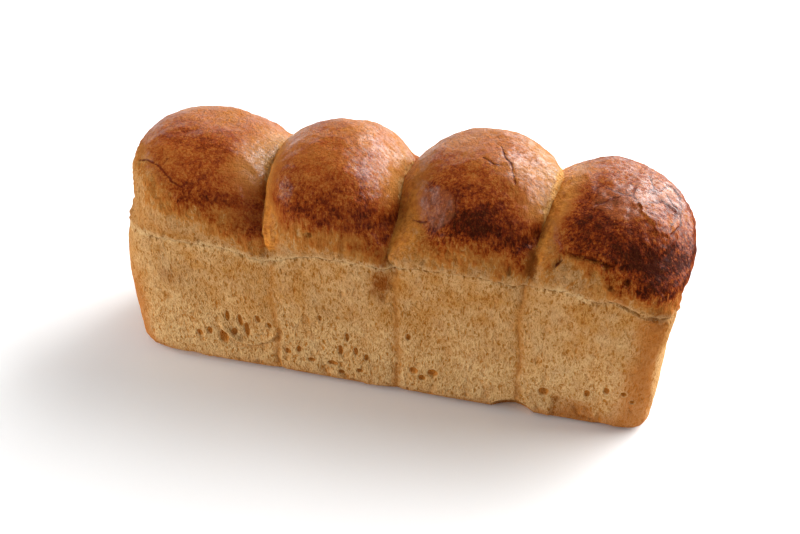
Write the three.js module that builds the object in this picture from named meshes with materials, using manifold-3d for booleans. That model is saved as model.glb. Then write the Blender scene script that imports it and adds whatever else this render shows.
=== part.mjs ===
// A tin loaf with four domes: four balls of dough, proved and baked side by side in one open tin.
// Millimetres. X runs along the loaf, Y across it with the front wall at -Y, and Z up from the base.
import * as THREE from "three";
import { mergeVertices } from "three/addons/utils/BufferGeometryUtils.js";
import Module from "manifold-3d";

const { smoothstep } = THREE.MathUtils;

// The part of the loaf that the tin shaped
const RIM_HEIGHT = 105.4; // of the tin's edge above its bottom
const HALF_DEPTH = 58; // from the middle to a long wall, at the rim
const DEPTH_TAPER = 4; // how much further in a long wall is at the base
const FOOT_RADIUS = 8.3; // of the edge round the base
const WALL_SQUARENESS = 9; // exponent of a ball's outline in plan, inside the tin

// The two end walls: how much further in each is at the base, how far it bulges halfway up,
// and the exponent of the loaf's outline in plan at its corners.
const END_WALLS = {
  left: { taper: -3.2, bulge: 4.2, squareness: 4.1 },
  right: { taper: 5.5, bulge: -0.9, squareness: 6.9 },
};

// The part that rose out of the tin
const DOME_WAIST = 117.3; // height where a dome is widest
const DOME_SWELL = 4.8; // how far it stands out over the long walls there
const SHOULDER_FROM = 17; // how far below the rim the outline starts to round off,
const SHOULDER_TO = 29; // and how far above it the outline is round
const LEAN_FROM = 5; // how far below the rim a dome starts to lean

// The four balls of dough, from the left end. half is the half width at the rim to the left and
// right, swell what the dome adds to it at its waist, lean how far the top moved along X and Y,
// squareness and roundness the exponents of the dome's outline in plan and from the side.
const BALLS = [
  { x: -126.8, half: [56.7, 63.7], swell: [-5.7, 5], lean: [-15.4, -1.6], top: 161.3 },
  { x: -31.8, half: [52, 50.9], swell: [2.2, -7.5], lean: [-7.7, -9.1], top: 171.9 },
  { x: 46.1, half: [43.5, 51.6], swell: [11.8, 11.4], lean: [8.6, 4.7], top: 168.7 },
  { x: 132.6, half: [49.1, 52.3], swell: [5.2, 3.9], lean: [1.9, 2.8], top: 158.5 },
];
const DOMES = [
  { squareness: 2.1, roundness: 2.17 },
  { squareness: 2.35, roundness: 2.03 },
  { squareness: 1.85, roundness: 2.16 },
  { squareness: 1.8, roundness: 2.12 },
];
BALLS.forEach((ball, i) => Object.assign(ball, DOMES[i]));

// Places where the crust stayed hollow: centre and radii of the egg-shaped space it went round.
const HOLLOWS = [
  { at: [89.4, -60, -1], radii: [17, 17, 14] },
  { at: [149.4, -58, -3], radii: [14, 10, 9.5] },
  { at: [23.4, -58, -3], radii: [12, 9, 8.5] },
  { at: [-142.6, -59, -4], radii: [30, 12, 10] },
];

// Slow swells and dips all over the crust
const UNEVEN = 0.9; // mm
const SWELLS = [
  { wave: [0.083, 0.031, 0.047], phase: 0.4 },
  { wave: [-0.037, 0.109, 0.061], phase: 2.1 },
  { wave: [0.127, -0.059, 0.093], phase: 4.4 },
  { wave: [0.053, 0.139, -0.113], phase: 1.3 },
];

const BOX_STEPS = [13, 15, 20]; // facets along a ball's width, depth and height
const SEARCH_STEPS = 30; // halvings that find the crust along a ray
const REACH = 1.4; // the longest ray, in half sizes of the ball

// How far in an end wall is at a share of the way down from the rim to the base.
function endWall({ taper, bulge }, down) {
  return taper * down - 4 * bulge * down * (1 - down);
}

// Half sizes of a ball's level section at height z, and the exponents of its outline, where
// half and squareness are those of its left and right side.
function sectionAt(ball, z) {
  const down = Math.max(RIM_HEIGHT - z, 0) / RIM_HEIGHT;
  const intoFoot = Math.max(FOOT_RADIUS - z, 0);
  const foot = FOOT_RADIUS - Math.sqrt(FOOT_RADIUS ** 2 - intoFoot ** 2);
  const swell = smoothstep(z, RIM_HEIGHT - 2, DOME_WAIST);
  const rise = Math.min(Math.max((z - DOME_WAIST) / (ball.top - DOME_WAIST), 0), 1);
  const close = (1 - rise ** ball.roundness) ** (1 / ball.roundness);
  const rounded = smoothstep(z, RIM_HEIGHT - SHOULDER_FROM, RIM_HEIGHT + SHOULDER_TO);
  const ends = [
    ball === BALLS[0] ? END_WALLS.left : null,
    ball === BALLS[BALLS.length - 1] ? END_WALLS.right : null,
  ];
  const half = ends.map((end, side) => {
    const inTin = ball.half[side] - foot - (end ? endWall(end, down) : 0);
    return (inTin + swell * ball.swell[side]) * close;
  });
  const squareness = ends.map((end) => {
    const inTin = end ? end.squareness : WALL_SQUARENESS;
    return inTin + (ball.squareness - inTin) * rounded;
  });
  const depth = (HALF_DEPTH - foot + swell * DOME_SWELL - DEPTH_TAPER * down) * close;
  return { half, depth, squareness };
}

function isInside(ball, p) {
  if (p.z < 0 || p.z >= ball.top) return false;
  const { half, depth, squareness } = sectionAt(ball, p.z);
  const side = p.x < ball.x ? 0 : 1;
  const across = Math.abs(p.x - ball.x) / half[side];
  const along = Math.abs(p.y) / depth;
  return across ** squareness[side] + along ** squareness[side] < 1;
}

// How far the crust stands out at a point, from its slow swells and dips.
function unevenness(p) {
  const sum = SWELLS.reduce(
    (total, { wave: [a, b, c], phase }) => total + Math.sin(a * p.x + b * p.y + c * p.z + phase),
    0,
  );
  return (UNEVEN * sum) / 2;
}

// Moves a point that lies in a hollow out to the hollow's wall.
function clearOfHollows(p) {
  for (const { at, radii } of HOLLOWS) {
    const centre = new THREE.Vector3(...at);
    const size = new THREE.Vector3(...radii);
    const offset = p.clone().sub(centre).divide(size);
    const distance = offset.length();
    if (distance < 1 && distance > 0) {
      p.copy(offset.divideScalar(distance).multiply(size).add(centre));
    }
  }
  return p;
}

// The crust's point along a ray from the middle of a ball.
function crustPoint(ball, corner) {
  const middle = new THREE.Vector3(ball.x, 0, ball.top / 2);
  const ray = corner.clone().multiply(new THREE.Vector3(ball.half[1], HALF_DEPTH, ball.top / 2));
  let inner = 0;
  let outer = REACH;
  for (let i = 0; i < SEARCH_STEPS; i++) {
    const half = (inner + outer) / 2;
    if (isInside(ball, ray.clone().multiplyScalar(half).add(middle))) inner = half;
    else outer = half;
  }
  const p = ray.clone().multiplyScalar(inner).add(middle);
  const aboveBase = smoothstep(p.z, 1, 2 * FOOT_RADIUS);
  p.addScaledVector(ray.normalize(), aboveBase * unevenness(p));
  const lean = smoothstep(p.z, RIM_HEIGHT - LEAN_FROM, ball.top);
  p.x += ball.lean[0] * lean;
  p.y += ball.lean[1] * lean;
  return p;
}

// A box's grid of points, each moved out to the crust, as one closed geometry.
function ballGeometry(ball) {
  const box = new THREE.BoxGeometry(2, 2, 2, ...BOX_STEPS);
  box.deleteAttribute("normal");
  box.deleteAttribute("uv");
  const geometry = mergeVertices(box, 1e-4);
  const points = geometry.getAttribute("position");
  const corner = new THREE.Vector3();
  for (let i = 0; i < points.count; i++) {
    const p = crustPoint(ball, corner.fromBufferAttribute(points, i));
    if (p.z < 0.02) p.z = 0;
    points.setXYZ(i, p.x, p.y, p.z);
  }
  return geometry;
}

const wasm = await Module();
wasm.setup();

function solidFrom(geometry) {
  return new wasm.Manifold(
    new wasm.Mesh({
      numProp: 3,
      vertProperties: geometry.getAttribute("position").array,
      triVerts: new Uint32Array(geometry.index.array),
    }),
  );
}

function geometryFrom(solid) {
  const { vertProperties, triVerts } = solid.getMesh();
  const geometry = new THREE.BufferGeometry();
  geometry.setAttribute("position", new THREE.BufferAttribute(vertProperties, 3));
  geometry.setIndex(new THREE.BufferAttribute(triVerts, 1));
  geometry.computeVertexNormals();
  return geometry;
}

// The balls proved into each other, so they are one solid with creases where they meet.
function loafGeometry() {
  const solid = BALLS.map((ball) => solidFrom(ballGeometry(ball))).reduce((a, b) => a.add(b));
  const geometry = geometryFrom(solid);
  const points = geometry.getAttribute("position");
  const p = new THREE.Vector3();
  for (let i = 0; i < points.count; i++) {
    clearOfHollows(p.fromBufferAttribute(points, i));
    points.setXYZ(i, p.x, p.y, Math.max(p.z, 0));
  }
  geometry.computeVertexNormals();
  return geometry;
}

const crust = new THREE.MeshStandardMaterial({ color: 0xb9773a, roughness: 0.6, metalness: 0 });

const loaf = new THREE.Mesh(loafGeometry(), crust);
loaf.name = "loaf";

const group = new THREE.Group();
group.add(loaf);

export default group;
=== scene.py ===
import math

import bmesh
import bpy
import numpy as np
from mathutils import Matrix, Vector, kdtree, noise


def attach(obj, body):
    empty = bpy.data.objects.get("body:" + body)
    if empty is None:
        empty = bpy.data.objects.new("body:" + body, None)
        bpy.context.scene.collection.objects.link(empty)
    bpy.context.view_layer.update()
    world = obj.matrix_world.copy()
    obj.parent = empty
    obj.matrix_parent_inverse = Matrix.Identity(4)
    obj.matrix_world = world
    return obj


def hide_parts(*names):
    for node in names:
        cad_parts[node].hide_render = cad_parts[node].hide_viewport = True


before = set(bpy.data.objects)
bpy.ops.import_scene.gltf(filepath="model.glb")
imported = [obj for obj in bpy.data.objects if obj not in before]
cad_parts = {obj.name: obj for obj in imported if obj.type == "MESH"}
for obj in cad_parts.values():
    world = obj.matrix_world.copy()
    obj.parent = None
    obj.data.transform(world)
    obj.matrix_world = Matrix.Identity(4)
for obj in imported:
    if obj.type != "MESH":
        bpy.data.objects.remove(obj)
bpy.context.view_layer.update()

MM = 0.001

# The part of the loaf that the tin shaped
RIM_HEIGHT = 105.4  # of the tin's edge above its bottom
HALF_DEPTH = 58.0  # from the middle to a long wall, at the rim
DEPTH_TAPER = 4.0  # how much further in a long wall is at the base
FOOT_RADIUS = 8.3  # of the edge round the base
WALL_SQUARENESS = 9.0  # exponent of a ball's outline in plan, inside the tin

# The left and right end walls: how much further in each is at the base, how far it bulges
# halfway up, and the exponent of the loaf's outline in plan at its corners.
END_WALLS = [
    {"taper": -3.2, "bulge": 4.2, "squareness": 4.1},
    {"taper": 5.5, "bulge": -0.9, "squareness": 6.9},
]

# The part that rose out of the tin
DOME_WAIST = 117.3  # height where a dome is widest
DOME_SWELL = 4.8  # how far it stands out over the long walls there
SHOULDER_FROM = 17.0  # how far below the rim the outline starts to round off,
SHOULDER_TO = 29.0  # and how far above it the outline is round
LEAN_FROM = 5.0  # how far below the rim a dome starts to lean

# The four balls of dough, from the left end. half is the half width at the rim to the left and
# right, swell what the dome adds to it at its waist, lean how far the top moved along X and Y,
# squareness and roundness the exponents of the dome's outline in plan and from the side.
BALLS = [
    {"x": -126.8, "half": (56.7, 63.7), "swell": (-5.7, 5.0), "lean": (-15.4, -1.6), "top": 161.3},
    {"x": -31.8, "half": (52.0, 50.9), "swell": (2.2, -7.5), "lean": (-7.7, -9.1), "top": 171.9},
    {"x": 46.1, "half": (43.5, 51.6), "swell": (11.8, 11.4), "lean": (8.6, 4.7), "top": 168.7},
    {"x": 132.6, "half": (49.1, 52.3), "swell": (5.2, 3.9), "lean": (1.9, 2.8), "top": 158.5},
]
DOMES = [
    {"squareness": 2.1, "roundness": 2.17},
    {"squareness": 2.35, "roundness": 2.03},
    {"squareness": 1.85, "roundness": 2.16},
    {"squareness": 1.8, "roundness": 2.12},
]
for ball, dome in zip(BALLS, DOMES):
    ball.update(dome)

# Places where the crust stayed hollow: centre and radii of the egg-shaped space it went round.
HOLLOWS = [
    {"at": (89.4, -60, -1), "radii": (17, 17, 14)},
    {"at": (149.4, -58, -3), "radii": (14, 10, 9.5)},
    {"at": (23.4, -58, -3), "radii": (12, 9, 8.5)},
    {"at": (-142.6, -59, -4), "radii": (30, 12, 10)},
]

# Slow swells and dips all over the crust
UNEVEN = 0.9
SWELLS = [
    {"wave": (0.083, 0.031, 0.047), "phase": 0.4},
    {"wave": (-0.037, 0.109, 0.061), "phase": 2.1},
    {"wave": (0.127, -0.059, 0.093), "phase": 4.4},
    {"wave": (0.053, 0.139, -0.113), "phase": 1.3},
]

BOX_CUTS = (108, 110, 150)  # cuts along a ball's width, depth and height
SEARCH_STEPS = 26  # halvings that find the crust along a ray
REACH = 1.4  # the longest ray, in half sizes of the ball
MOST_TRIANGLES = 192_000
SAME_PLACE = 0.001  # corners closer together than this are one
FRONT = -30.0  # Y of the points that are well on the front side


# ---------------------------------------------------------------- numbers over many points

def smoothstep(value, low, high):
    """0 below low, 1 above high and a smooth climb between."""
    t = np.clip((value - low) / (high - low), 0.0, 1.0)
    return t * t * (3.0 - 2.0 * t)


def hump(value, middle, width):
    """1 at the middle value, falling off over the width on both sides of it."""
    return np.exp(-(((value - middle) / width) ** 2))


def field(points, size, shift=0.0):
    """Noise at each point, about -1 to 1. size is that of a bump, in mm, along X, Y and Z."""
    scaled = points / np.broadcast_to(np.asarray(size, float), (3,)) + shift
    return np.array([noise.noise(p) for p in scaled.tolist()])


# ---------------------------------------------------------------- the four balls of dough

def end_wall(end, down):
    """How far in an end wall is at a share of the way down from the rim to the base."""
    return end["taper"] * down - 4.0 * end["bulge"] * down * (1.0 - down)


def section_at(ball, z):
    """Half sizes of a ball's level sections, left, right and across, and their exponents."""
    down = np.maximum(RIM_HEIGHT - z, 0.0) / RIM_HEIGHT
    into_foot = np.clip(FOOT_RADIUS - z, 0.0, FOOT_RADIUS)
    foot = FOOT_RADIUS - np.sqrt(FOOT_RADIUS**2 - into_foot**2)
    swell = smoothstep(z, RIM_HEIGHT - 2.0, DOME_WAIST)
    rise = np.clip((z - DOME_WAIST) / (ball["top"] - DOME_WAIST), 0.0, 1.0)
    close = (1.0 - rise ** ball["roundness"]) ** (1.0 / ball["roundness"])
    rounded = smoothstep(z, RIM_HEIGHT - SHOULDER_FROM, RIM_HEIGHT + SHOULDER_TO)
    ends = (END_WALLS[0] if ball is BALLS[0] else None, END_WALLS[1] if ball is BALLS[-1] else None)
    halves, exponents = [], []
    for end, half, swelling in zip(ends, ball["half"], ball["swell"]):
        inward = end_wall(end, down) if end else 0.0
        halves.append((half - foot - inward + swell * swelling) * close)
        in_tin = end["squareness"] if end else WALL_SQUARENESS
        exponents.append(in_tin + (ball["squareness"] - in_tin) * rounded)
    across = (HALF_DEPTH - foot + swell * DOME_SWELL - DEPTH_TAPER * down) * close
    return halves, across, exponents


def is_inside(ball, points):
    dx, y, z = points[:, 0] - ball["x"], points[:, 1], points[:, 2]
    halves, across, exponents = section_at(ball, z)
    half = np.maximum(np.where(dx < 0, *halves), 1e-6)
    power = np.where(dx < 0, *exponents)
    outside = (np.abs(dx) / half) ** power + (np.abs(y) / np.maximum(across, 1e-6)) ** power
    return (z >= 0.0) & (z < ball["top"]) & (outside < 1.0)


def unevenness(points):
    return UNEVEN / 2.0 * sum(np.sin(points @ np.array(s["wave"]) + s["phase"]) for s in SWELLS)


def crust_points(ball, corners):
    """The crust's points along the rays from the middle of a ball to the corners of a box's grid."""
    middle = np.array([ball["x"], 0.0, ball["top"] / 2])
    rays = corners * np.array([ball["half"][1], HALF_DEPTH, ball["top"] / 2])
    inner, outer = np.zeros(len(rays)), np.full(len(rays), REACH)
    for _ in range(SEARCH_STEPS):
        half = (inner + outer) / 2
        inside = is_inside(ball, middle + rays * half[:, None])
        inner, outer = np.where(inside, half, inner), np.where(inside, outer, half)
    points = middle + rays * inner[:, None]
    above_base = smoothstep(points[:, 2], 1.0, 2 * FOOT_RADIUS)
    rays /= np.linalg.norm(rays, axis=1)[:, None]
    points += rays * (above_base * unevenness(points))[:, None]
    lean = smoothstep(points[:, 2], RIM_HEIGHT - LEAN_FROM, ball["top"])
    points[:, 0] += ball["lean"][0] * lean
    points[:, 1] += ball["lean"][1] * lean
    return points


def places(mesh):
    co = np.empty(len(mesh.vertices) * 3, np.float32)
    mesh.vertices.foreach_get("co", co)
    return co.reshape(-1, 3).astype(float)


def point_normals(mesh):
    normals = np.empty(len(mesh.vertices) * 3, np.float32)
    mesh.vertex_normals.foreach_get("vector", normals)
    return normals.reshape(-1, 3).astype(float)


def put_places(mesh, points):
    mesh.vertices.foreach_set("co", points.astype(np.float32).ravel())
    mesh.update()


def box_grid():
    """A box from -1 to 1 with its faces cut into a fine grid."""
    bm = bmesh.new()
    bmesh.ops.create_cube(bm, size=2.0)
    for axis, cuts in enumerate(BOX_CUTS):
        along = [e for e in bm.edges if abs(e.verts[0].co[axis] - e.verts[1].co[axis]) > 1.0]
        bmesh.ops.subdivide_edges(bm, edges=along, cuts=cuts, use_grid_fill=True)
    mesh = bpy.data.meshes.new("box_grid")
    bm.to_mesh(mesh)
    bm.free()
    return mesh


def add_layer(mesh, name, values):
    layer = mesh.attributes.new(name, "FLOAT", "POINT")
    layer.data.foreach_set("value", np.asarray(values, np.float32))


def read_layer(mesh, name):
    values = np.empty(len(mesh.vertices), np.float32)
    mesh.attributes[name].data.foreach_get("value", values)
    return values.astype(float)


def with_modifiers_applied(piece):
    """A new mesh of the piece as its modifiers leave it."""
    graph = bpy.context.evaluated_depsgraph_get()
    return bpy.data.meshes.new_from_object(piece.evaluated_get(graph))


def proved_loaf():
    """The four balls grown into each other: one closed mesh in mm, with creases where they meet."""
    grid = box_grid()
    corners = places(grid)
    balls = []
    for number, ball in enumerate(BALLS):
        mesh = grid.copy()
        points = crust_points(ball, corners)
        points[points[:, 2] < 0.02, 2] = 0.0
        put_places(mesh, points)
        add_layer(mesh, "ball", np.full(len(points), float(number)))
        balls.append(bpy.data.objects.new(f"ball_{number + 1}", mesh))
    others = bpy.data.collections.new("balls")
    bpy.context.scene.collection.children.link(others)
    bpy.context.scene.collection.objects.link(balls[0])
    for ball in balls[1:]:
        others.objects.link(ball)
    union = balls[0].modifiers.new("union", "BOOLEAN")
    union.operation, union.operand_type, union.solver = "UNION", "COLLECTION", "MANIFOLD"
    union.collection = others
    mesh = with_modifiers_applied(balls[0])
    for ball in balls:
        bpy.data.meshes.remove(ball.data)
    bpy.data.collections.remove(others)
    bpy.data.meshes.remove(grid)
    return mesh


# ---------------------------------------------------------------- where things are on the crust

# Heights along the front, by distance along the loaf: of the line that the tin's edge left,
RIM_LINE = {
    -190: 103, -132: 103, -107: 103.5, -77: 96, -43: 108, -10: 108, 3: 105.5, 24: 111.5,
    65: 113, 85: 106.5, 106: 111, 116: 112, 133: 104.5, 147: 108, 162: 100, 190: 95,
}
# and of the line above which the crust is brown.
BROWN_LINE = {
    -190: 160, -158: 146, -131: 138, -104: 130, -84: 114, -68: 129, -42: 134, -18: 131, 3: 119,
    17: 133, 56: 135, 88: 128, 110: 131, 122: 137, 147: 128, 171: 117, 190: 112,
}
# The same lines on the back wall run about level.
RIM_BACK = RIM_HEIGHT
BROWN_BACK = 128.0

# How dark each dome is, from 0 to 1, low at the front and at its top
DARK_LOW = (0.63, 0.70, 0.86, 0.96)
DARK_TOP = (0.49, 0.48, 0.44, 0.48)
DOME_TOP = (8.0, 38.0)  # heights above the brown line between which low turns to top
# Places that the oven scorched more, or less where the amount is negative: centre, radii, amount
SCORCHES = [
    ((-119, -56, 134), (24, 20, 9), 0.12),
    ((-12, -48, 138), (20, 18, 12), 0.16),
    ((67, -50, 142), (26, 20, 9), 0.12),
    ((157, -46, 130), (26, 25, 10), 0.12),
    ((-165, -20, 152), (20, 40, 14), -0.12),
    ((-172, -45, 140), (20, 30, 16), -0.2),
    ((-100, -30, 143), (12, 22, 10), -0.14),
]

# Widths along the creases: of torn dough by height, of each dome's golden left flank, and of
# the paler right flank
TORN_WIDTH = (132.0, 142.0, 150.0, 160.0), (0.0, 3.0, 5.0, 7.0)
GOLDEN_FLANK = (0.0, 20.0, 32.0, 17.0)
PALE_FLANK = 34.0
ROUNDING_WIDTH = 32.0  # how far from a crease a left flank bakes less
FAR_FROM_CREASE = 30.0  # beyond this the material needs no distance to a crease

# Places where the pale dough toasted, and painted shade in the creases between the balls at x 1, 94 and
# -76: centre, radii and amount
TOASTED_AND_CREASE_SHADE = [
    ((1, -58, 96), (9, 8, 17), 1.0),
    ((173, -56, 98), (9, 10, 13), 0.7),
    ((94, -51, 122), (4, 10, 13), 1.5),
    ((-146, -57, 74), (12, 8, 11), 0.55),
    ((-76, -52, 104), (6, 12, 14), 0.6),
    ((109, -57, 25), (5, 6, 4), 0.6),
    ((-20, -56, 5), (5, 8, 3), 0.9),
    ((136, -56, 5), (8, 8, 3), 0.9),
]

# Larger holes in the front wall: distance along the loaf, height, half width and half height
HOLES = [
    (-113, 26, 3.6, 6.5), (-105, 32, 2.4, 3.4), (-96, 35, 2, 8), (-100, 43, 2, 6), (-87, 47, 2, 4),
    (-80, 43, 1.8, 3), (-131, 26, 2.6, 3.6), (-123, 30, 2, 4), (-109, 45, 1.8, 5), (-67, 22, 2.6, 2.6),
    (-59, 26, 2, 3.5), (-50, 18, 3.2, 2), (-35, 18, 4, 2.4), (-29, 11, 2.6, 2), (-16, 15, 2.5, 2.2),
    (-29, 31, 2, 5), (-18, 32, 1.8, 4), (-11, 28, 1.6, 3.5), (-24, 43, 1.6, 4), (-42, 57, 1.6, 3),
    (22, 24, 3.4, 3.2), (28, 19, 2.6, 2.6), (35, 25, 4, 3), (18, 53, 2, 3), (109, 25, 4, 4),
    (137, 29, 2.2, 3.4), (149, 34, 2.2, 3), (160, 34, 2, 2.2), (166, 28, 1.7, 1.7),
    (138, 132, 2.6, 2), (152, 124, 2.2, 2.6), (143, 120, 1.6, 2), (82, 120, 1.6, 3), (-43, 129, 2, 2),
]
SCOOP = {"at": (-95, 45), "radii": (21, 23)}  # a shallow round hollow low in the first ball's wall
TEAR = {"left": 113, "right": 141, "top": 21}  # where the foot of the last ball's wall came off

DULL = ((176, -34, 126), (22, 26, 13))  # skin without a shine: centre and radii

# Skin that lifted in glossy flakes: centre and radii
FLAKES = [
    ((141, -18, 154), (20, 20, 12)),
    ((168, -10, 149), (20, 30, 18)),
]
SMOOTH_FLAKE = ((30, -42, 147), (17, 16, 12))  # one large flake that lies flat
PLATE_SIZE = 19.0
PLATE_TILT = 0.05  # mm up or down for each mm from the middle of a plate
PLATE_STEP = 0.3  # the most that one plate stands above another

# Thin cracks in the domes' skin
CRACKS = [
    [
        (-168, -37, 148), (-161, -39, 151), (-151, -44, 151), (-144, -48, 148), (-138, -52, 145),
        (-128, -54, 142),
    ],
    [(-148, -43, 151), (-146, -38, 154)],
    [(54, 13, 167), (63, 4, 168), (67, -7, 168), (72, -12, 166), (75, -20, 162), (77, -24, 160)],
    [(54, -11, 168), (62, -16, 167), (72, -12, 166)],
    [(17, -41, 135), (23, -45, 137), (47, -50, 145)],
    [(44, -36, 157), (44, -42, 152), (47, -50, 145), (48, -55, 140)],
    [(155, 13, 156), (159, 2, 155), (156, -8, 155), (158, -25, 151), (172, -21, 144)],
    [(173, -27, 141), (178, -15, 141), (177, -8, 144), (171, -5, 149), (167, 1, 152)],
]
# The fold over which the last dome's skin tore, and the stretched dough below it
FOLD = [(104, -59, 110), (109, -56, 127), (114, -52, 135), (129, -55, 135), (141, -54, 132)]
STRETCHED = ((122, -58, 121), (18, 12, 13))

# The crumb's pits: size of the cells that each hold one at most
COARSE_CELL = 7.5
SMALL_CELL = 3.9

# How deep or high the relief is
COARSE_DEPTH = 0.9
SMALL_DEPTH = 0.6
HOLE_DEPTH = 2.1
SCOOP_DEPTH = 1.4
SCOOP_LIP_HEIGHT = 2.2
RIM_CRACK_DEPTH = 1.7
LIP_HEIGHT = 0.6  # of the lip of dough over the tin's edge
SHRED_HEIGHT = 0.9
STRAND_HEIGHT = 1.6
FOLD_HEIGHT = 1.3
FOLD_DEPTH = 1.2
CRACK_DEPTH = 0.45
CRACK_WIDTH = 0.8
TEAR_DEPTH = 2.2
SEAM_SWAY = 3.2  # how far a seam leaves its straight line
FINE_RELIEF = 1.5  # depth of the bumps that only the material makes

# A cell's chance comes from its middle and these numbers, so it is the same each time
SCATTER = np.array([[12.99, 78.23, 37.72], [41.7, 3.3, 63.1], [7.1, 19.9, 87.3]])
PIT_CHANCE = 4375.85
PLATE_CHANCE = 43.75
SECOND_CHANCE = 57.0


def line_height(points, line, back):
    """Height of one of the lines at each point, from its front course and its height at the back."""
    front = np.interp(points[:, 0], list(line), list(line.values()))
    back = back + 2.0 * np.sin(points[:, 0] / 17.0) + np.sin(points[:, 0] / 7.0 + 1.0)
    share = smoothstep(-points[:, 1], FRONT, -FRONT)
    return back + (front - back) * share


def egg_distance(points, centre, radii):
    """Distance of each point from a place, in radii."""
    return np.linalg.norm((points - np.array(centre, float)) / np.array(radii, float), axis=1)


def spot(points, centre, radii):
    """1 in the middle of a place, and fading out over its radii."""
    return np.exp(-(egg_distance(points, centre, radii) ** 2))


def crease_distances(mesh, points, ball_of):
    """Distance from each point to the nearest crease between two balls."""
    pairs = np.empty(len(mesh.edges) * 2, np.int32)
    mesh.edges.foreach_get("vertices", pairs)
    pairs = pairs.reshape(-1, 2)
    crossing = pairs[np.abs(ball_of[pairs[:, 0]] - ball_of[pairs[:, 1]]) > 0.01]
    on_crease = np.unique(crossing)
    tree = kdtree.KDTree(len(on_crease))
    for i, p in enumerate(points[on_crease].tolist()):
        tree.insert(p, i)
    tree.balance()
    return np.array([tree.find(p)[2] for p in points.tolist()])


def fraction(value):
    """What stands behind the decimal point."""
    return np.modf(np.abs(value))[0]


def pits(points, cell, stretch, share, seed):
    """Depth from 0 to 1 of round pits scattered at random, one at most in each cell."""
    scaled = points / (cell * np.asarray(stretch)) + seed
    found = [noise.voronoi(p) for p in scaled.tolist()]
    distance = np.array([f[0][0] for f in found])
    centre = np.array([tuple(f[1][0]) for f in found])
    chance = fraction(np.sin(centre @ SCATTER[0]) * PIT_CHANCE)
    radius = 0.22 + 0.3 * fraction(chance * SECOND_CHANCE)  # in cells
    depth = np.clip(1.0 - (distance / radius) ** 2, 0.0, 1.0)
    return np.where(chance < share, depth, 0.0)


def plates(points, size, seed):
    """Where skin broke into plates: each one's tilt in mm, its sheen and the distance to its edge."""
    scaled = points / size + seed
    found = [noise.voronoi(p)[1][:2] for p in scaled.tolist()]
    own, other = np.array([[tuple(c) for c in pair] for pair in found]).transpose(1, 0, 2)
    chance = np.sin(own @ SCATTER.T * PLATE_CHANCE)
    tilt = ((scaled - own) * chance).sum(axis=1) * size
    apart = np.linalg.norm(own - other, axis=1)
    edge = ((scaled - (own + other) / 2) * (own - other)).sum(axis=1) / apart * size
    return tilt, fraction(chance[:, 0] * SECOND_CHANCE), edge


def line_distance(points, line):
    """Distance from each point to a line through a few places."""
    nearest = np.full(len(points), 1e9)
    for a, b in zip(line[:-1], line[1:]):
        a, b = np.array(a, float), np.array(b, float)
        along = np.clip((points - a) @ (b - a) / ((b - a) @ (b - a)), 0.0, 1.0)
        nearest = np.minimum(nearest, np.linalg.norm(points - a - along[:, None] * (b - a), axis=1))
    return nearest


def holes(points):
    """Depth from 0 to 1 of the larger holes in the front wall, and down to -1 outside them."""
    depth = np.full(len(points), -1.0)
    for x, z, half_width, half_height in HOLES:
        reach = ((points[:, 0] - x) / half_width) ** 2 + ((points[:, 2] - z) / half_height) ** 2
        depth = np.maximum(depth, 1.3 - 1.3 * reach)
    return np.where(points[:, 1] < FRONT, np.clip(depth, -1.0, 1.0), -1.0)


def scooped(points, share):
    """A curve from 0 to 1 round the lower half of the scoop, at a share of its radii."""
    (x, z), (wide, high) = SCOOP["at"], SCOOP["radii"]
    reach = np.hypot((points[:, 0] - x) / wide, (points[:, 2] - z) / high)
    lower_half = smoothstep(z - 3.0 - points[:, 2], 0.0, 9.0) * (points[:, 1] < FRONT)
    left = smoothstep(x - points[:, 0], -12.0, 10.0)
    return lower_half * (0.6 + 0.4 * left) * hump(reach, share, 0.08 + 0.05 * left)


def torn_foot(points):
    """Share from 0 to 1 to which the foot of the last ball's wall came off."""
    x, y, z = points.T
    inside = smoothstep(x, TEAR["left"], TEAR["left"] + 5.0)
    inside = inside * smoothstep(TEAR["right"] + 8.0 - 0.6 * z - x, -2.0, 3.0)
    return inside * smoothstep(TEAR["top"] - z, -1.0, 1.5) * (y < FRONT)


def moved_out_of_hollows(points):
    for hollow in HOLLOWS:
        centre, radii = np.array(hollow["at"]), np.array(hollow["radii"])
        distance = egg_distance(points, centre, radii)
        inside = (distance < 1.0) & (distance > 0.0)
        points[inside] = centre + (points[inside] - centre) / distance[inside, None]
    return points


# ---------------------------------------------------------------- how the crust turned out

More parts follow.
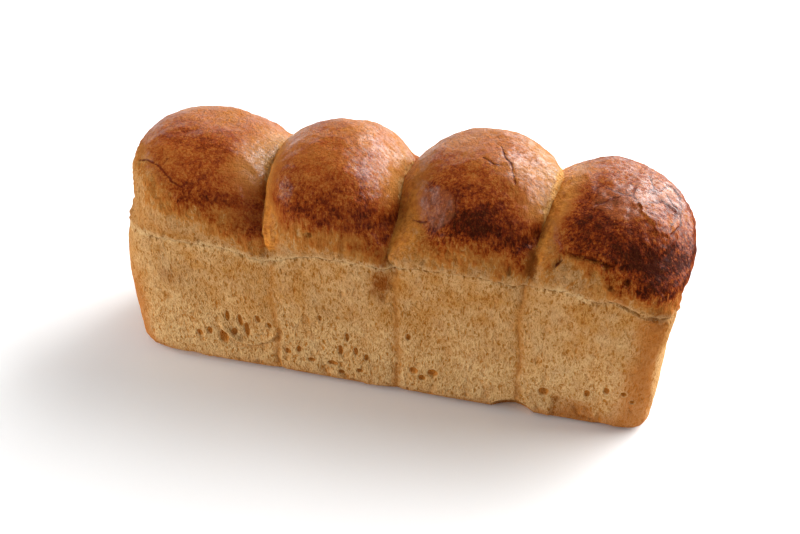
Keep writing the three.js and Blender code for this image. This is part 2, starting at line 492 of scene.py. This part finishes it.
class Crust:
    """The points of the fine loaf in mm and, for each of them, how the crust turned out there."""

    def __init__(self, mesh):
        self.points = places(mesh)
        self.normals = point_normals(mesh)
        ball_of = read_layer(mesh, "ball")
        self.from_crease = crease_distances(mesh, self.points, ball_of)
        self.ball = np.clip(np.round(ball_of), 0, len(BALLS) - 1).astype(int)
        self.left_flank = self.points[:, 0] < np.array([b["x"] for b in BALLS])[self.ball]

        self.slow = field(self.points, 26.0)
        self.medium = field(self.points, 9.0, shift=3.1)
        self.fine = field(self.points, 3.6, shift=7.7)
        self.streak = field(self.points, (3.2, 3.2, 15.0), shift=11.3)

        # Heights above the two lines, then shares from 0 to 1 of tin's wall, of steep and of underside
        z = self.points[:, 2]
        self.above = z - line_height(self.points, RIM_LINE, RIM_BACK)
        self.over = z - line_height(self.points, BROWN_LINE, BROWN_BACK)
        self.over = self.over + 5.0 * self.slow + 3.5 * self.medium + 1.5 * self.fine
        self.wall = 1.0 - smoothstep(self.above, -1.5, 1.5)
        self.standing = smoothstep(1.0 - np.abs(self.normals[:, 2]), 0.15, 0.5)
        self.under = smoothstep(-self.normals[:, 2], 0.5, 0.9)

    def part_the_domes(self):
        """Torn dough high in the valleys between the domes, golden on a dome's left flank, and on
        its right flank the crust pales slowly towards the valley."""
        z, medium, fine = self.points[:, 2], self.medium, self.fine
        width = np.interp(z, *TORN_WIDTH)
        ragged = self.from_crease + 2.5 * medium + 1.5 * fine
        self.torn = 1.0 - smoothstep(ragged, 0.3 * width, 1.2 * width + 0.1)
        self.torn *= (1.0 - 0.7 * self.left_flank) * smoothstep(width, 0.5, 2.5)

        width = np.array(GOLDEN_FLANK)[self.ball]
        flank = 1.0 - smoothstep(self.from_crease + 2.5 * medium + fine, 0.0, width + 0.1)
        self.flank = flank * self.left_flank * smoothstep(self.above + 4.0 * medium, 2.0, 18.0)

        pale = 1.0 - smoothstep(self.from_crease + 5.0 * medium + 2.0 * fine, 0.0, PALE_FLANK)
        self.pale = pale * ~self.left_flank * smoothstep(z + 3.0 * medium, 130.0, 148.0)

    def bake(self):
        """How dark the crust is: as the oven made it, from pale at the rim's line to the darkest low on
        each dome, with painted rim light paler at the back and the right end; how much of a skin it
        has; and where the pale dough toasted, with painted shade in some creases."""
        points, over = self.points, self.over
        low, top = np.array(DARK_LOW)[self.ball], np.array(DARK_TOP)[self.ball]
        swirl = field(points, (34.0, 16.0, 7.0), shift=21.0)
        dark = low + (top - low) * smoothstep(over, *DOME_TOP) + 0.10 * self.slow + 0.10 * swirl
        for centre, radii, amount in SCORCHES:
            dark += amount * spot(points, centre, radii)
        # Painted rim light: the crust paler towards the back and the right end, where the rims of the
        # domes catch the light
        behind = smoothstep(points[:, 1], -12.0, 30.0)
        right_rim_light = smoothstep(points[:, 0], 172.0, 188.0)
        dark -= 0.12 * behind + 0.15 * right_rim_light
        browning = 0.42 * smoothstep(over, -26.0, -5.0) + 0.58 * smoothstep(over, -12.0, 13.0)
        rounding = 1.0 - smoothstep(self.from_crease + 3.0 * self.medium, 0.0, ROUNDING_WIDTH)
        dark = browning * dark * (1.0 - self.torn) * (1.0 - 0.8 * self.flank)
        self.baked = dark * (1.0 - 0.75 * self.pale) * (1.0 - 0.6 * rounding * self.left_flank)

        self.skin = smoothstep(over, -6.0, 12.0) * (1.0 - self.torn)
        self.skin *= 1.0 - 0.8 * spot(points, *DULL)
        # Toasted dough, and painted shade in some creases between the balls
        self.toast = np.zeros(len(points))
        for centre, radii, amount in TOASTED_AND_CREASE_SHADE:
            away = egg_distance(points, centre, radii) + 0.15 * self.fine
            self.toast += amount * np.exp(-(away**2))

    def open_the_crumb(self):
        """Pits, larger holes and the scoop in the walls, the crack along the tin's edge, the shreds
        above it, and the foot that came off."""
        points, above = self.points, self.above
        x, _, z = points.T
        coarse_share = 0.08 + 0.5 * (1.0 - smoothstep(z, 10.0, 50.0))
        self.coarse = pits(points, COARSE_CELL, (1.0, 1.0, 1.5), coarse_share, 0.0)
        self.small = pits(points, SMALL_CELL, (1.0, 1.0, 1.6), 0.4, 5.0)
        shred = smoothstep(above, 0.0, 6.0) * (1.0 - smoothstep(self.over, -2.0, 8.0))
        self.shred = shred * self.standing
        self.pitted = self.wall * self.standing
        self.scoop_lip, self.below_lip = scooped(points, 0.94), scooped(points, 1.1)
        self.hole = np.maximum(holes(points), 1.4 * self.scoop_lip - 1.7)
        pit = np.clip(self.coarse + self.small * 0.6 + 0.8 * self.below_lip, 0.0, 1.0)
        self.pit = pit * np.clip(self.pitted + 0.5 * self.shred, 0.0, 1.0)
        self.parted = 0.3 + 0.7 * smoothstep(x, 0.0, 20.0)
        self.parted *= smoothstep(self.slow + 0.5 * self.medium, -0.6, -0.2)
        self.came_off = torn_foot(points)

    def stretch_the_dough(self):
        """The fold over the last ball's wall, and the strands that slant down from it."""
        points = self.points
        x, y, z = points.T
        self.fold = line_distance(points, FOLD)
        stretched = spot(points, *STRETCHED)
        slant = np.column_stack([x - z, y, (x + z) / 4.0])
        self.strands = field(slant, 4.5, shift=31.0) * stretched
        paled = 0.3 * stretched * smoothstep(self.baked, 0.1, 0.4)
        self.baked = self.baked - paled + 0.4 * self.strands * smoothstep(self.above, 0.0, 6.0)

    def break_the_skin(self):
        """Thin cracks, and the flakes' plates: how far each lifted and how much it shines."""
        points, medium, fine = self.points, self.medium, self.fine
        crack = np.maximum(self.fold - 0.3, 0.0)
        for line in CRACKS:
            crack = np.minimum(crack, line_distance(points, line))
        flaky = np.zeros(len(points))
        for centre, radii in FLAKES:
            away = egg_distance(points, centre, radii) + 0.2 * medium
            flaky = np.maximum(flaky, 1.0 - smoothstep(away, 0.6, 1.0))
        bent = points + 1.3 * np.column_stack([fine, medium, -fine])
        tilt, sheen, edge = plates(bent, PLATE_SIZE, 0.35)
        shed = edge + 3.0 * (1.0 - flaky)
        height = PLATE_TILT * tilt + PLATE_STEP * (sheen - 0.5)
        self.lifted = flaky * height - 0.1 * hump(shed, 0.0, CRACK_WIDTH)
        self.cracked = hump(crack, 0.0, CRACK_WIDTH)
        self.crack = np.minimum(crack, shed)
        flat = np.exp(-(egg_distance(points, *SMOOTH_FLAKE) ** 4))
        self.plate = np.maximum(flaky * sheen, flat)

    def relief(self):
        """How many mm the crust stands out at each point, or lies in where it is negative."""
        medium, fine, above, hole = self.medium, self.fine, self.above, self.hole
        lip = hump(above, 3.5, 3.0) * self.standing
        foot = hump(self.points[:, 2], 3.0, 4.0) * (1.0 - self.under)
        out = 0.45 * self.slow + 0.3 * medium * self.pitted + 0.22 * fine * self.pitted
        out += -COARSE_DEPTH * self.coarse * self.pitted - SMALL_DEPTH * self.small * self.pitted
        out += -HOLE_DEPTH * np.maximum(hole, 0.0) + 0.35 * hump(hole, -0.25, 0.3)
        out += self.shred * (SHRED_HEIGHT * self.streak + 0.5 * fine - 0.5 * self.small)
        out += (1.0 - self.wall) * (0.65 * medium + 0.36 * fine)
        out += self.torn * (0.4 * fine + 0.4 * medium) + STRAND_HEIGHT * self.strands
        out += FOLD_HEIGHT * hump(self.fold, 3.2, 2.2) - FOLD_DEPTH * hump(self.fold, 0.0, 1.6)
        rim_crack = RIM_CRACK_DEPTH * hump(above, 0.0, 1.1) * self.parted * self.standing
        out += (LIP_HEIGHT + 0.7 * fine) * lip - rim_crack
        out += self.lifted
        out -= CRACK_DEPTH * self.cracked
        came_off = self.came_off * (TEAR_DEPTH - 0.5 * self.streak - 0.4 * fine)
        out += SCOOP_LIP_HEIGHT * self.scoop_lip - SCOOP_DEPTH * self.below_lip - came_off
        out += foot * (0.7 * medium + 0.4 * fine)
        return out

    def push_out(self):
        """Moves the points out by the relief, and the seams a little to and fro along the loaf."""
        points, z = self.points, self.points[:, 2]
        body = smoothstep(z, 0.3, 4.0) * (1.0 - self.under)
        by_seam = 1.0 - smoothstep(self.from_crease, 2.0, 26.0)
        by_seam *= 1.0 - smoothstep(self.above, -12.0, 6.0)
        points += self.normals * (self.relief() * body)[:, None]
        points[:, 0] += SEAM_SWAY * field(points, (90.0, 90.0, 24.0), shift=41.0) * by_seam
        points[:, 2] = np.maximum(points[:, 2], 0.0)
        self.points = moved_out_of_hollows(points)
        self.points[:, 2] = np.maximum(self.points[:, 2], 0.0)

    def gild(self):
        """The golden parts of the walls: the left end, the right corner, all round the foot and where
        the foot came off, and low at the right a golden painted shade."""
        x, y, z = self.points.T
        left_end = smoothstep(-x, 158.0, 182.0) * (1.0 - 0.7 * smoothstep(z, 40.0, 90.0))
        facing_right = smoothstep(self.normals[:, 0], 0.5, 0.95)
        right_corner = smoothstep(x, 148.0, 176.0) * (1.0 - 0.9 * facing_right)
        # Painted shade: the lower walls towards the right end darker and more golden, where less light
        # falls
        shaded_right_foot = 0.4 * smoothstep(x, 80.0, 150.0) * (1.0 - smoothstep(z, 15.0, 75.0))
        golden = (left_end + right_corner + shaded_right_foot) * self.wall * smoothstep(-y, -40.0, 30.0)
        self.golden = golden + (0.8 * hump(z, 0.0, 9.0) + 0.3 * self.came_off)

    def layers(self):
        """What the material reads at each point, by name."""
        return {
            "above": self.above,
            "crease": np.minimum(self.from_crease, FAR_FROM_CREASE),
            "crack": self.crack,
            "plate": self.plate,
            "bake": np.clip(self.baked, 0.0, 1.2),
            "torn": self.torn,
            "skin": self.skin,
            "pit": self.pit,
            "hole": self.hole,
            "golden": self.golden,
            "flank": self.flank,
            "toast": self.toast,
            "parted": self.parted,
        }


def loaf_mesh():
    mesh = proved_loaf()
    crust = Crust(mesh)
    crust.part_the_domes()
    crust.bake()
    crust.open_the_crumb()
    crust.stretch_the_dough()
    crust.break_the_skin()
    crust.push_out()
    crust.gild()
    put_places(mesh, crust.points * MM)
    for name, values in crust.layers().items():
        add_layer(mesh, name, values)
    return mesh


def without_stray_faces(mesh):
    """Thinning leaves slivers along the creases. Joins corners that lie at one place, cuts every
    face into triangles, and deletes those on the same corners as another and those with a free edge."""
    bm = bmesh.new()
    bm.from_mesh(mesh)
    bmesh.ops.remove_doubles(bm, verts=bm.verts, dist=SAME_PLACE * MM)
    bmesh.ops.triangulate(bm, faces=bm.faces)
    by_corners = {}
    for face in bm.faces:
        by_corners.setdefault(frozenset(face.verts), []).append(face)
    twins = [face for faces in by_corners.values() if len(faces) > 1 for face in faces]
    bmesh.ops.delete(bm, geom=twins, context="FACES")
    flaps = [face for face in bm.faces if any(edge.is_boundary for edge in face.edges)]
    bmesh.ops.delete(bm, geom=flaps, context="FACES")
    bm.to_mesh(mesh)
    bm.free()
    return mesh


def loaf_piece():
    piece = bpy.data.objects.new("crusty_loaf", loaf_mesh())
    bpy.context.scene.collection.objects.link(piece)
    thin = piece.modifiers.new("thin", "DECIMATE")
    thin.ratio = MOST_TRIANGLES / sum(len(p.vertices) - 2 for p in piece.data.polygons)
    fine_mesh = piece.data
    mesh = without_stray_faces(with_modifiers_applied(piece))
    piece.modifiers.clear()
    piece.data = mesh
    bpy.data.meshes.remove(fine_mesh)
    mesh.name = "crusty_loaf"
    mesh.materials.clear()
    mesh.shade_smooth()
    return piece


# ---------------------------------------------------------------- materials

def srgb(red, green, blue):
    """A colour as 0 to 255 turned to the shader's linear values."""
    def linear(value):
        value /= 255
        return value / 12.92 if value <= 0.04045 else ((value + 0.055) / 1.055) ** 2.4
    return linear(red), linear(green), linear(blue), 1.0


class Term:
    """A socket of a material that expressions are written with."""

    def __init__(self, recipe, socket):
        self.recipe = recipe
        self.socket = socket

    def math(self, operation, *values):
        return self.recipe.node("ShaderNodeMath", {"operation": operation}, dict(enumerate(values)))

    def __add__(self, other):
        return self.math("ADD", self, other)

    __radd__ = __add__

    def __mul__(self, other):
        return self.math("MULTIPLY", self, other)

    __rmul__ = __mul__

    def __sub__(self, other):
        return self.math("SUBTRACT", self, other)

    def __rsub__(self, other):
        return self.math("SUBTRACT", other, self)

    def near(self, middle, reach):
        """1 at the middle value and 0 beyond the reach on both sides of it."""
        away = self.math("ABSOLUTE", self - middle)
        return 1.0 - away.between(0.0, reach)

    def between(self, low, high):
        """0 below low, 1 above high and a smooth climb between."""
        settings = {"interpolation_type": "SMOOTHSTEP"}
        inputs = {"Value": self, "From Min": low, "From Max": high}
        return self.recipe.node("ShaderNodeMapRange", settings, inputs)


class Recipe:
    """A material, and the one way that nodes are added to it."""

    def __init__(self, name):
        self.material = bpy.data.materials.new(name)
        self.material.use_nodes = True
        self.tree = self.material.node_tree
        self.shader = self.tree.nodes["Principled BSDF"]

    def node(self, kind, settings=None, inputs=None, output=0):
        made = self.tree.nodes.new(kind)
        for name, value in (settings or {}).items():
            if name == "stops":
                self.set_stops(made.color_ramp, value)
            else:
                setattr(made, name, value)
        for name, value in (inputs or {}).items():
            if isinstance(value, Term):
                self.tree.links.new(value.socket, made.inputs[name])
            else:
                made.inputs[name].default_value = value
        return Term(self, made.outputs[output])

    def set_stops(self, ramp, stops):
        while len(ramp.elements) < len(stops):
            ramp.elements.new(1.0)
        for element, (place, colour) in zip(ramp.elements, stops):
            element.position = place
            element.color = colour

    def feed(self, **links):
        for name, value in links.items():
            socket = self.shader.inputs[name.replace("_", " ")]
            if isinstance(value, Term):
                self.tree.links.new(value.socket, socket)
            else:
                socket.default_value = value

    def noise(self, where, size, detail=3.0, roughness=0.55):
        """Cloudy noise from 0 to 1 whose lumps are about size mm across."""
        inputs = {"Vector": where, "Scale": 1.0 / (size * MM), "Detail": detail, "Roughness": roughness}
        return self.node("ShaderNodeTexNoise", None, inputs)

    def vector_math(self, operation, inputs):
        return self.node("ShaderNodeVectorMath", {"operation": operation}, inputs)

    def stretched(self, where, stretch):
        """The same place, changing faster or slower along X, Y and Z."""
        return self.vector_math("MULTIPLY", {0: where, 1: stretch})

    def mixed(self, share, a, b):
        return self.node("ShaderNodeMix", {"data_type": "RGBA"}, {"Factor": share, 6: a, 7: b}, 2)

    def cells(self, where, size):
        """Distance from the middle of the nearest of many cells, each about size mm across."""
        inputs = {"Vector": where, "Scale": 1.0 / (size * MM)}
        return self.node("ShaderNodeTexVoronoi", {"feature": "F1"}, inputs)

    def wandering(self, where, size, reach):
        """The same place shifted by up to about reach mm, so that a pattern loses its order."""
        cloud = self.node("ShaderNodeTexNoise", None, {"Vector": where, "Scale": 1.0 / (size * MM)}, 1)
        shift = self.vector_math("SUBTRACT", {0: cloud, 1: (0.5, 0.5, 0.5)})
        shift = self.vector_math("SCALE", {0: shift, "Scale": 2.0 * reach * MM})
        return self.vector_math("ADD", {0: where, 1: shift})

    def bumped(self, height, distance):
        inputs = {"Height": height, "Distance": distance * MM, "Strength": 1.0}
        return self.node("ShaderNodeBump", None, inputs)


# The tin's walls: the crumb's pits and its ridges, each in browner and paler blotches
PIT_TANS = srgb(152, 88, 26), srgb(162, 106, 46)
RIDGE_TANS = srgb(192, 136, 72), srgb(207, 161, 106)
# Painted light on the lower walls: golden pits and pale ridges mixed in towards the base
PAINTED_LIGHT_LOW_TANS = srgb(190, 124, 54), srgb(244, 208, 150)
SMEARED_CRUMB = srgb(206, 170, 126)
PITTED_CRUMB = srgb(192, 126, 58)
GOLDEN_WALL = srgb(178, 102, 38)
SEAM_SIDE = srgb(186, 122, 56)
SEAM = srgb(156, 88, 32)
HOLE_RING = srgb(214, 170, 112)
HOLE_FLOOR = srgb(194, 116, 36)

# The line of the tin's edge, and the dough above it
RIM_CRACK = srgb(120, 66, 14)
RIM_HOLE = srgb(120, 72, 24)
PALE_CRUMBS = srgb(222, 184, 130)
TORN_DOUGH = srgb(196, 126, 52), srgb(228, 176, 110)
BROWN_STRAND = srgb(156, 92, 38)
FLANK_GOLDS = srgb(196, 102, 22), srgb(236, 152, 60)
# Toasted dough, and painted shade in the creases
TOAST_AND_SHADE_BROWN = srgb(136, 72, 22)

# The skin of the domes, from pale dough to the darkest crust, and the marks on it: painted glints, a
# painted sheen on the shiny plates, and cracks
BAKED_TONES = [
    (0.0, srgb(202, 148, 88)),
    (0.2, srgb(188, 122, 56)),
    (0.4, srgb(174, 98, 38)),
    (0.6, srgb(148, 60, 9)),
    (0.8, srgb(106, 33, 5)),
    (1.0, srgb(60, 13, 2)),
]
PAINTED_GLINT = srgb(208, 126, 54)
PAINTED_PLATE_SHEEN = srgb(184, 106, 60)
SKIN_CRACK = srgb(108, 36, 10)


class BakedCrust(Recipe):
    """The crust's material. Numbers on the loaf's points say where each finish is, and patterns
    break up its colour and its edges."""

    def __init__(self):
        super().__init__("baked_crust")
        self.where = self.node("ShaderNodeTexCoord", output=3)
        self.upright = self.stretched(self.where, (1.0, 1.0, 0.5))
        self.crumb = self.noise(self.upright, 0.9, 3.0, 0.6)
        self.patch = self.noise(self.where, 7.0, 3.0)
        self.strand = self.noise(self.stretched(self.where, (1.0, 1.0, 0.16)), 1.5, 4.0, 0.65)
        self.cloud = self.noise(self.where, 9.0, 4.0, 0.55)
        self.fleck = self.noise(self.stretched(self.where, (1.0, 1.0, 0.6)), 0.9, 3.0, 0.65)
        self.mottle = self.noise(self.where, 3.5, 3.0, 0.6)

        # A fine upright foam of ridges round pits
        bent = self.wandering(self.upright, 2.5, 1.1)
        cells = self.cells(bent, 1.25)
        self.caves = self.cells(bent, 3.0)
        ridge = self.noise(bent, 1.7, 2.0).near(0.5, 0.12)
        pitted = cells.between(0.0, 0.8) * 0.2 + self.caves.between(0.05, 0.5) * 0.25
        self.foam = pitted + self.crumb * 0.42 + ridge * 0.26

        # Where one finish gives way to another, with edges that wander a little
        self.wander = self.noise(self.where, 4.0, 3.0) - 0.5
        self.wall = 1.0 - (self.layer("above") + self.wander * 3.0).between(-1.0, 1.0)
        self.split = 1.0 - (self.layer("crack") + self.wander * 2.5).between(0.3, 0.9)
        self.shiny = self.layer("plate").between(0.35, 0.6)
        self.brown_edge = self.layer("bake").between(0.0, 0.2) * (1.0 - self.layer("skin") * 0.8)
        self.baked = self.browning()

    def layer(self, name):
        """One of the layers of numbers on the loaf's points."""
        return self.node("ShaderNodeAttribute", {"attribute_name": name}, output=2)

    def browning(self):
        """How dark the crust is, from 0 to 1, with streaks and flecks."""
        bake = self.layer("bake")
        strand, cloud = self.strand - 0.5, self.cloud - 0.5
        fleck, mottle = self.fleck - 0.5, self.mottle - 0.5
        streaked = strand * 0.9 + cloud * 0.7 + (self.patch - 0.5) * 0.5
        drawn = mottle * 0.4 + fleck * 0.35 + strand * 0.9 + cloud * 0.5
        dusted = fleck * 0.2 + mottle * 0.1 + cloud * 0.1
        baked = bake + streaked * self.brown_edge + drawn * bake.between(0.3, 0.7)
        return baked + dusted * bake.between(0.0, 0.4)

    def wall_colour(self):
        """The walls that stood in the tin: pale ridges round golden pits, paler towards the base with
        painted light.
        """
        # Painted light: the walls paler towards the base, standing in for light on their lower part
        height = self.node("ShaderNodeSeparateXYZ", None, {"Vector": self.where}, 2)
        low = 1.0 - height.between(0.02, 0.085)
        blotch = self.noise(self.where, 16.0, 4.0).between(0.35, 0.65)
        pits = self.mixed(blotch, *PIT_TANS)
        ridges = self.mixed(blotch, *RIDGE_TANS)
        tan = self.mixed(self.foam.between(0.4, 0.8), pits, ridges)
        foot = self.mixed(self.foam.between(0.4, 0.9), *PAINTED_LIGHT_LOW_TANS)
        tan = self.mixed(low * 0.5, tan, foot)
        smear = self.noise(self.wandering(self.upright, 30.0, 20.0), 13.0, 4.0, 0.6)
        tan = self.mixed(smear.between(0.5, 0.7) * 0.25, tan, SMEARED_CRUMB)
        tan = self.mixed(self.layer("pit") * 0.45, tan, PITTED_CRUMB)
        golden = self.layer("golden")
        golden = golden + (self.patch - 0.5) * 0.8 * golden
        tan = self.mixed(golden.between(0.1, 1.0) * 0.75, tan, GOLDEN_WALL)
        seam_side = 1.0 - (self.layer("crease") + self.wander * 6.0).between(0.4, 4.0)
        tan = self.mixed(seam_side * self.wall * 0.6, tan, SEAM_SIDE)
        hole = self.layer("hole")
        tan = self.mixed(hole.near(-0.3, 0.5) * 0.7, tan, HOLE_RING)
        return self.mixed(hole.between(0.0, 0.6) * 0.85, tan, HOLE_FLOOR)

    def with_domes(self, tan):
        """The shreds above the tin's edge and the brown domes, with painted glints and gold flanks."""
        risen = 1.0 - self.wall
        tan = self.mixed(self.strand.between(0.45, 0.7) * 0.55 * risen, tan, BROWN_STRAND)
        browned = self.node("ShaderNodeValToRGB", {"stops": BAKED_TONES}, {"Fac": self.baked})
        colour = self.mixed(self.baked.between(0.03, 0.25) * risen, tan, browned)
        # Painted glints: pale specks and streaks in the colour that stand in for the glints of the
        # shine, fewer on the darkest crust
        streaks = self.stretched(self.where, (1.0, 1.0, 0.35))
        fine_glint = self.noise(streaks, 0.8, 3.0, 0.7).between(0.35, 0.75)
        glint = fine_glint + self.noise(streaks, 2.6, 3.0).between(0.4, 0.7)
        painted_sparkle = self.noise(self.where, 1.0, 1.0).between(0.62, 0.72)
        not_dark = 1.0 - self.baked.between(0.5, 0.9) * 0.7
        colour = self.mixed((glint * 0.12 + painted_sparkle * 0.35) * risen * not_dark, colour, PAINTED_GLINT)
        flank = self.layer("flank")
        gold = (flank + (self.patch - 0.5) * 1.2 * flank).between(0.1, 0.9) * risen
        golds = self.mixed(self.mottle.between(0.35, 0.65), *FLANK_GOLDS)
        return self.mixed(gold * 0.8, colour, golds)

    def with_marks(self, colour):
        """Toasted places and painted shade in some creases, the crumbs and the crack along the tin's
        edge, torn dough, seams, a painted sheen
            on the shiny plates and cracks in the skin."""
        above, parted = self.layer("above"), self.layer("parted")
        # Toasted dough, and painted shade in some creases between the balls
        toast = self.layer("toast")
        toasted = toast + (self.crumb + self.patch - 1.0) * 1.6 * toast
        colour = self.mixed(toasted.between(0.2, 1.1), colour, TOAST_AND_SHADE_BROWN)
        rim_crumbs = (above + self.wander * 9.0).near(1.2, 5.0) * (1.0 - parted * 0.6)
        colour = self.mixed(rim_crumbs * self.foam.between(0.4, 0.7) * 0.95, colour, PALE_CRUMBS)
        ragged = self.layer("torn") + (self.crumb - 0.5) * 0.9
        crumbly = self.mixed(self.foam.between(0.35, 0.9), *TORN_DOUGH)
        colour = self.mixed(ragged.between(0.35, 0.9) * 0.85, colour, crumbly)
        seam = 1.0 - (self.layer("crease") + self.wander * 4.0).between(0.2, 1.3)
        broken_seam = seam * self.wall * self.patch.between(0.35, 0.6)
        colour = self.mixed(broken_seam * 0.5, colour, SEAM)
        rim_crack = (above + self.wander * 4.0).near(0.0, 1.4) * parted
        deep = self.mottle.between(0.4, 0.55) * 0.8 + 0.1
        colour = self.mixed(rim_crack * deep, colour, RIM_CRACK)
        rim_holes = (above + self.wander * 6.0).near(-1.0, 3.0) * (1.0 - parted * 0.8)
        rim_holes = rim_holes * (1.0 - self.caves.between(0.3, 0.5))
        colour = self.mixed(rim_holes * 0.8, colour, RIM_HOLE)
        # Painted sheen: the shiny plates lightened towards a pale pinkish brown, the look of their
        # shine
        colour = self.mixed(self.shiny * 0.3, colour, PAINTED_PLATE_SHEEN)
        return self.mixed(self.split * 0.85, colour, SKIN_CRACK)

    def gloss(self):
        """How much of a shiny coat there is: on the skin, broken up by slanting wrinkles."""
        slant = {"Vector": self.where, "Rotation": (0.0, -0.7, 0.0), "Scale": (1.0, 1.0, 2.5)}
        slanted = self.node("ShaderNodeMapping", {"vector_type": "TEXTURE"}, slant)
        wrinkle = self.noise(slanted, 1.9, 4.0, 0.65)
        shine = 0.06 + wrinkle.between(0.36, 0.64) * 0.6 + self.cloud.between(0.4, 0.65) * 0.2
        coat = self.layer("skin") * shine + self.shiny * 0.2
        return coat * (1.0 - self.baked.between(0.6, 1.0) * 0.7)

    def fine_relief(self):
        """Height of the finest bumps: the foam on the walls, dimples and strands above them."""
        dimples = self.noise(self.where, 2.4, 4.0, 0.6)
        strands = self.strand * 0.7 * self.brown_edge
        wrinkled = (dimples + self.fleck * 0.5 + strands - self.split * 0.4) * 2.0
        foam = self.foam - self.layer("pit") * 0.3
        return wrinkled + (foam - wrinkled) * self.wall


def crust_material():
    crust = BakedCrust()
    colour = crust.with_marks(crust.with_domes(crust.wall_colour()))
    bumps = crust.bumped(crust.fine_relief(), FINE_RELIEF)
    crust.feed(Base_Color=colour, Normal=bumps, Coat_Weight=crust.gloss())
    crust.feed(Roughness=0.9, Coat_Roughness=0.27, Specular_IOR_Level=0.04)
    return crust.material


def floor_material():
    floor = Recipe("pale_floor")
    floor.feed(Base_Color=srgb(250, 250, 250), Roughness=0.9)
    return floor.material


# ---------------------------------------------------------------- the loaf, the floor and the light

FLOOR_HALF_WIDTH = 6.0
LAMP_TARGET = (0.0, 0.0, 0.1)
SKY_STRENGTH = 0.33

loaf = loaf_piece()
loaf.data.materials.append(crust_material())
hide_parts("loaf")
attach(loaf, "root")


def floor_piece():
    bm = bmesh.new()
    bmesh.ops.create_grid(bm, x_segments=1, y_segments=1, size=FLOOR_HALF_WIDTH)
    mesh = bpy.data.meshes.new("floor")
    bm.to_mesh(mesh)
    bm.free()
    piece = bpy.data.objects.new("floor", mesh)
    bpy.context.scene.collection.objects.link(piece)
    mesh.materials.append(floor_material())
    return piece


floor = floor_piece()
floor.visible_glossy = False


def aim(thing, target):
    thing.rotation_euler = (Vector(target) - thing.location).to_track_quat("-Z", "Y").to_euler()


def soft_lamp(name, place, size, power):
    """A round lamp turned to the loaf. Its place and size are in metres, its power in watts."""
    light = bpy.data.lights.new(name, "AREA")
    light.shape = "DISK"
    light.size = size
    light.energy = power
    lamp = bpy.data.objects.new(name, light)
    lamp.location = place
    bpy.context.scene.collection.objects.link(lamp)
    aim(lamp, LAMP_TARGET)
    return lamp


soft_lamp("key_lamp", (0.50, 1.00, 1.20), size=1.2, power=10.0)
soft_lamp("side_lamp", (1.15, 0.95, 0.82), size=2.2, power=77.0)
soft_lamp("left_lamp", (-1.15, -0.20, 0.50), size=0.9, power=5.0)
soft_lamp("back_lamp", (0.90, 2.40, 0.40), size=2.2, power=24.0)

# A wide lamp that shows only in the crust's shine, and a low one that shows everywhere but there
backdrop_lamp = soft_lamp("backdrop_lamp", (-0.90, 2.20, 0.50), size=3.0, power=29.0)
backdrop_lamp.visible_diffuse = False
front_lamp = soft_lamp("front_lamp", (-0.96, -0.60, 0.18), size=0.4, power=6.1)
front_lamp.visible_glossy = False

world = bpy.data.worlds.new("studio")
bpy.context.scene.world = world
world.use_nodes = True
sky = world.node_tree.nodes["Background"]
sky.inputs["Color"].default_value = (1.0, 1.0, 1.0, 1.0)
sky.inputs["Strength"].default_value = SKY_STRENGTH
world.cycles_visibility.glossy = False
bpy.context.scene.view_settings.view_transform = "Standard"

# ---------------------------------------------------------------- the camera

PITCH, YAW = math.radians(35.8), math.radians(14.6)
TARGET = Vector((-1.8, 0.0, 66.8)) * MM
DISTANCE = 766.0 * MM

camera_data = bpy.data.cameras.new("camera")
camera_data.lens = 50.0
camera_data.sensor_width = 36.0
camera = bpy.data.objects.new("camera", camera_data)
bpy.context.scene.collection.objects.link(camera)
level = math.cos(PITCH)
towards_camera = Vector((math.sin(YAW) * level, -math.cos(YAW) * level, math.sin(PITCH)))
camera.location = TARGET + towards_camera * DISTANCE
camera.rotation_euler = towards_camera.to_track_quat("Z", "Y").to_euler()
bpy.context.scene.camera = camera
